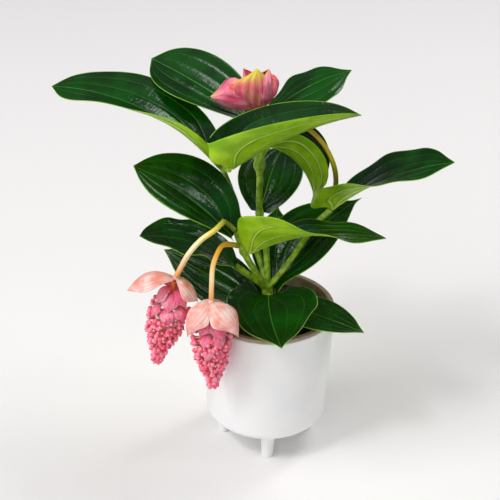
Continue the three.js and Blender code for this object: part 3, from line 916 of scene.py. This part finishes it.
# petals of a head: how far down its axis, then heading, length, width and start
heads = {
    "left": {
        "top": (-115.6, -68, 269.7), "foot": (-139, -68, 153),
        "petals": [
            (0.12, 258, 31, 27, 2), (0.06, 196, 34, 30, 2), (0.1, 328, 31, 25, 2), (0.1, 70, 32, 30, 2),
            (0.25, 207, 26, 20, 10), (0.27, 268, 27, 24, 10), (0.26, 318, 27, 22, 10), (0.26, 90, 26, 22, 10),
            (0.46, 140, 18, 14, 14), (0.54, 10, 18, 14, 14),
        ],
    },
    "right": {
        "top": (-70.5, -89.6, 250.2), "foot": (-68, -89.6, 132.5),
        "petals": [
            (0.12, 232, 33, 28, 2), (0.12, 305, 36, 28, 4), (0.1, 20, 34, 28, 2), (0.1, 120, 34, 28, 2),
            (0.27, 250, 24, 19, 12), (0.27, 297, 25, 20, 12), (0.28, 60, 25, 20, 12), (0.28, 165, 25, 20, 12),
            (0.42, 262, 21, 17, 14), (0.46, 300, 18, 14, 14), (0.5, 80, 18, 14, 14),
        ],
    },
}
# the radius of a head, and how far down its length that is
headOutline = [
    (8, 0.0), (20, 0.14), (28.5, 0.25), (29, 0.34), (27, 0.45), (24, 0.61), (17.5, 0.76), (9, 0.95), (5, 1.0),
]
paniclePetal = {"curl": (-45, -65), "rise": 26, "droop": 112, "steps": 3, "fullness": 0.75, "widest": 0.46}


def berryMaterial():
    # Ripe berry-like flower bud: smooth waxy skin, clouded in two pinks.
    material, tree = newMaterial("waxy pink berry")
    return dress(material, {
        "Base Color": mottle(tree, 5, headLook["berry"], headLook["berryPale"], 2.0),
        "Roughness": 0.28,
        "Subsurface Weight": 0.08, "Subsurface Radius": (1.0, 0.25, 0.25), "Subsurface Scale": 0.002,
        "Normal": bump(speckle(tree, 1.2), 0.1),
    })


def creamMaterial():
    # Thin fleshy branches of the head, clouded from cream to salmon.
    material, tree = newMaterial("cream flower branch")
    return dress(material, {
        "Base Color": mottle(tree, 12, headLook["cream"], headLook["salmon"], 2.0, 0.35, 0.65),
        "Roughness": 0.45,
        "Normal": bump(speckle(tree, 1.5), 0.1),
    })


def randomValue(given, low, high, shift):
    # a random number, or three, for each point, from the tree's seed
    first, result, kind = (0, 0, "FLOAT_VECTOR") if isinstance(low, tuple) else (2, 1, "FLOAT")
    inputs = {"Seed": plus(given["Seed"], float(shift)), first: low, first + 1: high}
    return output(given["Seed"].id_data, "FunctionNodeRandomValue", inputs, result, data_type=kind)


def instances(points, instance, rotation, scale):
    inputs = {"Points": points, "Instance": instance, "Rotation": rotation, "Scale": scale}
    return output(points.id_data, "GeometryNodeInstanceOnPoints", inputs)


def joined(*geometries):
    both = addNode(geometries[0].id_data, "GeometryNodeJoinGeometry")
    for geometry in geometries:
        setInputs(both, {0: geometry})
    return both.outputs[0]


def berryTree(berryMat, branchMat):
    # tufts of berries in a golden spiral down the head, each berry on a branch from the axis
    tree, given = newTree("berry head", {
        "Tufts": "Int", "Berries In Tuft": "Int", "Head Length": "Float", "First": "Float", "Last": "Float",
        "Tuft Radius": "Float", "Berry Size": "Float", "Branch Size": "Float", "Seed": "Int",
    })
    inTuft = given["Berries In Tuft"]
    index = output(tree, "GeometryNodeInputIndex")
    tuft = calc("FLOOR", calc("DIVIDE", plus(index, 0.5), inTuft))
    member = minus(index, times(tuft, inTuft))
    step = calc("DIVIDE", tuft, minus(given["Tufts"], 1.0))
    step = calc("POWER", step, headLook["packing"])
    down = fade(step, 0.0, 1.0, given["First"], given["Last"], "LINEAR")
    outline = addNode(tree, "ShaderNodeFloatCurve", {"Value": down})
    points = outline.mapping.curves[0].points
    widest = max(radius for radius, _ in headOutline)
    while len(points) < len(headOutline):
        points.new(0.5, 0.5)
    for point, (radius, share) in zip(points, headOutline):
        point.location = (share, radius / widest)
        point.handle_type = "VECTOR"
    outline.mapping.update()
    reach = minus(times(outline.outputs[0], widest * mm), times(given["Berry Size"], 0.9))
    goldenAngle = math.pi * (3 - math.sqrt(5))
    angle = times(tuft, goldenAngle)
    cosine, sine = calc("COSINE", angle), calc("SINE", angle)
    level = times(down, -1.0, given["Head Length"])
    centre = combine(times(cosine, reach), times(sine, reach), level)
    # berries of a tuft stand in a ring that faces outwards
    spin = plus(calc("DIVIDE", times(member, 2 * math.pi), inTuft), angle)
    wide = times(calc("COSINE", spin), given["Tuft Radius"], randomValue(given, 0.8, 1.15, 1))
    tall = times(calc("SINE", spin), given["Tuft Radius"], randomValue(given, 0.8, 1.15, 2))
    proud = randomValue(given, *[length * mm for length in headLook["proudMm"]], 3)
    offset = combine(
        plus(times(sine, -1.0, wide), times(cosine, proud)),
        plus(times(cosine, wide), times(sine, proud)), tall,
    )
    place = output(tree, "ShaderNodeVectorMath", {0: centre, 1: offset}, operation="ADD")
    root = combine(0.0, 0.0, plus(level, headLook["branchRiseMm"] * mm))
    count = times(given["Tufts"], inTuft)
    spots = output(tree, "GeometryNodeMeshLine", {"Count": count, "Offset": (0, 0, 0)})
    spots = moved(spots, {"Position": place})
    away = output(tree, "ShaderNodeVectorMath", {0: place, 1: root}, operation="SUBTRACT")
    facing = output(tree, "FunctionNodeAlignRotationToVector", {"Vector": away}, axis="Z")
    # a berry is a slightly long ball with a small blunt tip
    ball = output(tree, "GeometryNodeMeshUVSphere", {"Segments": 12, "Rings": 8, "Radius": 0.5})
    ball = output(tree, "GeometryNodeTransform", {"Geometry": ball, "Scale": (1, 1, 1.08)})
    height = upPart(output(tree, "GeometryNodeInputPosition"))
    berry = moved(ball, {"Offset": combine(0.0, 0.0, fade(height, 0.44, 0.5, 0.0, 0.05))})
    berries = instances(spots, berry, facing, times(given["Berry Size"], randomValue(given, 0.86, 1.12, 4)))
    # a thin branch runs from the axis to every berry
    length = output(tree, "ShaderNodeVectorMath", {0: away}, "Value", operation="LENGTH")
    rod = output(tree, "GeometryNodeMeshCylinder", {"Vertices": 5, "Radius": 0.5, "Depth": 1.0})
    rod = output(tree, "GeometryNodeTransform", {"Geometry": rod, "Translation": (0, 0, -0.5)})
    thin = combine(given["Branch Size"], given["Branch Size"], length)
    branches = instances(spots, rod, facing, thin)
    both = joined(coat(berries, berryMat), coat(branches, branchMat, smooth=False))
    addNode(tree, "NodeGroupOutput", {"Geometry": both})
    return tree


berryGroup = berryTree(berryMaterial(), creamMaterial())
axisMaterial = stalkMaterial("orange flower axis", headLook["axisStops"])
for order, (key, head) in enumerate(heads.items()):
    top, foot = Vector(head["top"]), Vector(head["foot"])
    replaced = ["panicle_" + key]
    empty = newObject("head", bpy.data.meshes.new("head"))
    berries = grow("berries_" + key, empty, berryGroup, {
        "Tufts": headLook["tufts"], "Berries In Tuft": headLook["berriesInTuft"],
        "Head Length": (top - foot).length * mm, "First": headLook["first"], "Last": headLook["last"],
        "Tuft Radius": headLook["tuftMm"] * mm, "Berry Size": headLook["berryMm"] * mm,
        "Branch Size": headLook["branchMm"] * mm, "Seed": headLook["seed"] + order,
    })
    turn = Vector((0, 0, 1)).rotation_difference(top - foot).to_matrix().to_4x4()
    berries.data.transform(Matrix.Translation(Vector(inRow(top))) @ turn)
    finishPiece(berries, replaced)
    axis = smoothPath([head["top"], tuple((top + foot) / 2), head["foot"]], 3)
    rod = (axis, np.linspace(headLook["axisMm"], 0.8, len(axis)))
    strands("headAxis_" + key, [rod], axisMaterial, replaced)
    petals = []
    for share, heading, length, width, start in head["petals"]:
        petal = {"heading": heading, "length": length, "width": width, "start": start}
        petals.append(buildBract({**paniclePetal, **petal}, tuple(top.lerp(foot, share))))
    makePiece("headBracts_" + key, petals, [pinkBract, pinkBract], replaced)
print("heads of berries made")


# planter, nursery pot and soil

planter = {
    "rimRadius": 85, "baseRadius": 79, "edgeRadius": 14, "wall": 4, "rimHeight": 192, "floorHeight": 33,
    "footCircle": 55, "footTop": 9.5, "footEnd": 7.5, "footTurn": 4, "footFillet": 3, "footRound": 1.2,
    "footGap": 0.2, "footSunk": 1, "footSegments": 48, "lipRound": 1.6, "segments": 192,
}
liner = {
    "lipRadius": 84, "lipHeight": 4.5, "topRadius": 79.5, "baseRadius": 66, "baseHeight": 62, "wall": 2,
    "lipRound": 0.9, "mouthRound": 1.5, "baseEdge": 2, "gap": 0.3, "segments": 160, "ringMm": 2.0,
}
soil = {
    "top": 181, "bump": 2.2, "crumbs": 2600, "crumbMm": 3.2, "seed": 5,
    "gap": 0.45, "floorGap": 0.3, "rings": 40, "segments": 120, "weldReach": 1e-7,
}


def arc(centre, radius, fromAngle, toAngle, steps):
    angles = np.radians(np.linspace(fromAngle, toAngle, steps + 1))
    return [(centre[0] + radius * math.cos(a), centre[1] + radius * math.sin(a)) for a in angles]


def latheBlock(profile, segments, centre=(0, 0)):
    # turns (radius, height) points round an upright line, on which both ends of the profile lie
    profile = np.array(profile, float)
    phi = np.linspace(0, 2 * np.pi, segments, endpoint=False)
    radius, height = profile[:, 0:1], profile[:, 1:2]
    circles = [centre[0] + radius * np.cos(phi), centre[1] + radius * np.sin(phi), height + 0 * phi]
    faces = gridFaces(len(profile) - 1, segments, flip=True)
    return np.stack(circles, -1).reshape(-1, 3), faces, np.zeros(len(faces), int), {}


def planterMaterial():
    # Stoneware with a matte white glaze: soft broad highlights, faint unevenness of the glaze.
    material, tree = newMaterial("matte white glazed stoneware")
    return dress(material, {
        "Base Color": mottle(tree, 60, "#f3f3f4", "#f8f8f7", 2.0),
        "Roughness": fade(speckle(tree, 25), 0.3, 0.7, 0.5, 0.62),
        "Normal": bump(plus(speckle(tree, 20, 1.0), times(speckle(tree, 1.5), 0.15)), 0.12),
    })


def linerMaterial():
    # Injection-moulded polypropylene nursery pot in taupe, with fine rings from its mould.
    material, tree = newMaterial("taupe moulded polypropylene")
    height = upPart(output(tree, "ShaderNodeTexCoord", socket="Object"))
    rings = calc("SINE", times(height, 2 * math.pi / (liner["ringMm"] * mm)))
    return dress(material, {
        "Base Color": mottle(tree, 12, "#8c786a", "#a8917f"),
        "Roughness": 0.5,
        "Normal": bump(plus(times(rings, 0.3), speckle(tree, 1.0)), 0.08),
    })


def soilMaterial():
    # Moist peat and bark potting mix: nearly black, with dull brown fibres.
    material, tree = newMaterial("moist potting mix")
    crumbs = fade(speckle(tree, 3.5, 5.0, 0.65), 0.35, 0.7)
    stops = [(0.0, "#140b05"), (0.5, "#2c1a0e"), (0.8, "#4a2e19"), (1.0, "#7a5534")]
    return dress(material, {
        "Base Color": rampColours(crumbs, stops),
        "Roughness": 0.9,
        "Normal": bump(speckle(tree, 1.6, 5.0, 0.7), 1.2),
    })


def bowlProfile():
    wall, edge, rounding = planter["wall"], planter["edgeRadius"], planter["lipRound"]
    edgeCentre = (planter["baseRadius"] - edge, planter["floorHeight"] + edge)
    outer, inner = planter["rimRadius"] - rounding, planter["rimRadius"] - wall + rounding
    lipHeight = planter["rimHeight"] - rounding
    return [
        (0, planter["floorHeight"]), *arc(edgeCentre, edge, -90, 0, 14),
        *arc((outer, lipHeight), rounding, 0, 90, 6), *arc((inner, lipHeight), rounding, 90, 180, 6),
        *arc(edgeCentre, edge - wall, 0, -90, 10), (0, planter["floorHeight"] + wall),
    ]


def footProfile():
    fillet, rounding = planter["footFillet"], planter["footRound"]
    flat = planter["footEnd"] - rounding
    wide = planter["footTop"] + fillet
    filletHeight = planter["floorHeight"] - fillet - planter["footGap"]
    top = planter["floorHeight"] + planter["footSunk"]
    return [
        (0, -lift), (flat, -lift), *arc((flat, rounding - lift), rounding, -90, 0, 4),
        *arc((wide, filletHeight), fillet, 180, 90, 5), (wide, top), (0, top),
    ]


linerRest = planter["rimHeight"] + liner["gap"]
linerFloor = liner["baseHeight"] + liner["wall"]


def linerProfile():
    rounding, mouth, edge = liner["lipRound"], liner["mouthRound"], liner["baseEdge"]
    lipTop = planter["rimHeight"] + liner["lipHeight"]
    lipRadius = liner["lipRadius"] - rounding
    return [
        (0, liner["baseHeight"]), (liner["baseRadius"] - edge, liner["baseHeight"]),
        (liner["baseRadius"], liner["baseHeight"] + edge), (liner["topRadius"], linerRest),
        *arc((lipRadius, linerRest + rounding), rounding, -90, 0, 4),
        *arc((lipRadius, lipTop - rounding), rounding, 0, 90, 5),
        *arc((liner["topRadius"] - liner["wall"] + mouth, lipTop - mouth), mouth, 90, 180, 5),
        (liner["baseRadius"] - liner["wall"], linerFloor), (0, linerFloor),
    ]


blocks = [latheBlock(bowlProfile(), planter["segments"])]
for quarter in range(4):
    turn = math.radians(planter["footTurn"] + 90 * quarter)
    centre = (planter["footCircle"] * math.cos(turn), planter["footCircle"] * math.sin(turn))
    blocks.append(latheBlock(footProfile(), planter["footSegments"], centre))
makePiece("finePlanter", blocks, [planterMaterial()], ["planter"])
blocks = [latheBlock(linerProfile(), liner["segments"])]
makePiece("fineLiner", blocks, [linerMaterial()], ["liner"])


fullTurns = (6.28, 6.28, 6.28)  # radians about each axis


def soilTree(material):
    # crumbs scattered over the top of the soil and sunk into it
    tree, given = newTree("soil crumbs", {
        "Crumbs Per Square Metre": "Float", "Crumb Size": "Float", "Seed": "Int",
    })
    facing = upPart(output(tree, "GeometryNodeInputNormal"))
    points = output(tree, "GeometryNodeDistributePointsOnFaces", {
        "Mesh": given["Geometry"], "Density": given["Crumbs Per Square Metre"],
        "Selection": calc("GREATER_THAN", facing, 0.6), "Seed": given["Seed"],
    })
    lump = output(tree, "GeometryNodeMeshIcoSphere", {"Radius": 0.5, "Subdivisions": 2})
    noise = output(tree, "ShaderNodeTexNoise", {"Scale": 3.1})
    dent = scaled(output(tree, "GeometryNodeInputPosition"), times(minus(noise, 0.5), 1.6))
    rough = moved(lump, {"Offset": dent})
    turns = randomValue(given, (0, 0, 0), fullTurns, 1)
    spin = output(tree, "FunctionNodeEulerToRotation", {0: turns})
    size = times(given["Crumb Size"], randomValue(given, 0.4, 1.25, 3))
    stretch = scaled(randomValue(given, (0.5, 0.5, 0.4), (1.4, 1.1, 0.9), 2), size)
    both = joined(instances(points, rough, spin, stretch), given["Geometry"])
    addNode(tree, "NodeGroupOutput", {"Geometry": coat(both, material)})
    return tree


def buildSoil():
    # fills the liner, with low hills and small lumps on top
    slope = (liner["topRadius"] - liner["baseRadius"]) / (linerRest - liner["baseHeight"])
    bottom = linerFloor + soil["floorGap"]
    bottomRadius = liner["baseRadius"] - liner["wall"] - soil["gap"]
    radius = liner["baseRadius"] - liner["wall"] + slope * (soil["top"] - linerFloor) - soil["gap"]
    rings = [(radius * k / soil["rings"], soil["top"]) for k in range(soil["rings"], -1, -1)]
    points, faces, _, _ = latheBlock([(0, bottom), (bottomRadius, bottom), *rings], soil["segments"])
    x, y, height = points.T
    rim = np.hypot(x, y) / radius
    hills = soil["bump"] * (np.sin(0.11 * x + 1) * np.cos(0.13 * y) * (1 - rim) - 0.4 * rim)
    lumps = 0.7 * np.sin(0.9 * x + 0.5 * y) * np.sin(0.7 * y - 0.4 * x + 1) * (1 - rim ** 8)
    points[:, 2] += np.where(height > soil["top"] - 1, hills + lumps, 0)
    mesh = bpy.data.meshes.new("soil base")
    mesh.from_pydata(inRow(points).tolist(), [], faces.tolist())
    return grow("fineSoil", newObject("soil base", mesh), soilTree(soilMaterial()), {
        "Crumbs Per Square Metre": soil["crumbs"] / (math.pi * (radius * mm) ** 2),
        "Crumb Size": soil["crumbMm"] * mm, "Seed": soil["seed"],
    })


finishPiece(buildSoil(), ["soil"], soil["weldReach"])
print("planter, liner and soil made")


# floor

floorMaterial, floorTree = newMaterial("pale studio floor")
floorTone = blendColours(speckle(floorTree, 400, 1.0), "#eceaea", "#eeecec")
dress(floorMaterial, {"Base Color": floorTone, "Roughness": 0.9})
floorMesh = bpy.data.meshes.new("floor")
floorMesh.from_pydata([(-9, -6, 0), (9, -6, 0), (9, 14, 0), (-9, 14, 0)], [], [(0, 1, 2, 3)])
floorMesh.materials.append(floorMaterial)
floor = newObject("floor", floorMesh)
